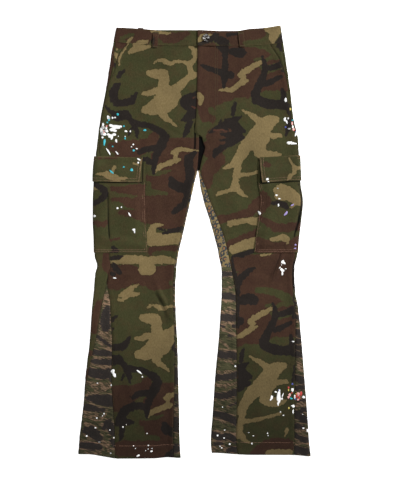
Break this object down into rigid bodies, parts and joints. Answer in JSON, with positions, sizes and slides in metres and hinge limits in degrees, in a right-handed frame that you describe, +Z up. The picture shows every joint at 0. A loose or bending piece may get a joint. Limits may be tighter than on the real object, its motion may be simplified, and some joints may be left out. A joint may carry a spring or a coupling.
{
  "type": "flared cargo trousers",
  "caption": "Flared cargo trousers in camouflage twill, laid flat, with flapped thigh pockets, slanted hip pockets and striped wedges that widen the legs below the knee.",
  "frame": {"origin": "centre of the laid garment's outline, on the surface it lies on", "axes": "+X towards the wearer's left leg, +Y from the hems towards the waistband, +Z up through the layers to the front of the garment"},
  "size_m": [0.5652, 1.0552, 0.0179],
  "materials": {
    "camouflage": "matte cotton twill",
    "tiger_stripe": "matte cotton twill",
    "leopard": "matte cotton",
    "metal": "satin"
  },
  "bodies": {
    "root": {"front_right": "camouflage", "front_left": "camouflage", "back_right": "camouflage", "back_left": "camouflage", "hip_facing_right": "camouflage", "hip_facing_left": "camouflage", "waistband_right": "camouflage", "waistband_left": "camouflage", "loop_front_right": "camouflage", "loop_front_left": "camouflage", "loop_back_right": "camouflage", "loop_back_middle": "camouflage", "loop_back_left": "camouflage", "cargo_pocket_right": "camouflage", "cargo_pocket_left": "camouflage", "cargo_flap_right": "camouflage", "cargo_flap_left": "camouflage", "outer_flare_right": "tiger_stripe", "outer_flare_left": "tiger_stripe", "inner_flare_right": "tiger_stripe", "inner_flare_left": "tiger_stripe", "thigh_insert_right": "leopard", "thigh_insert_left": "leopard", "waist_button": "metal"}
  },
  "joints": []
}
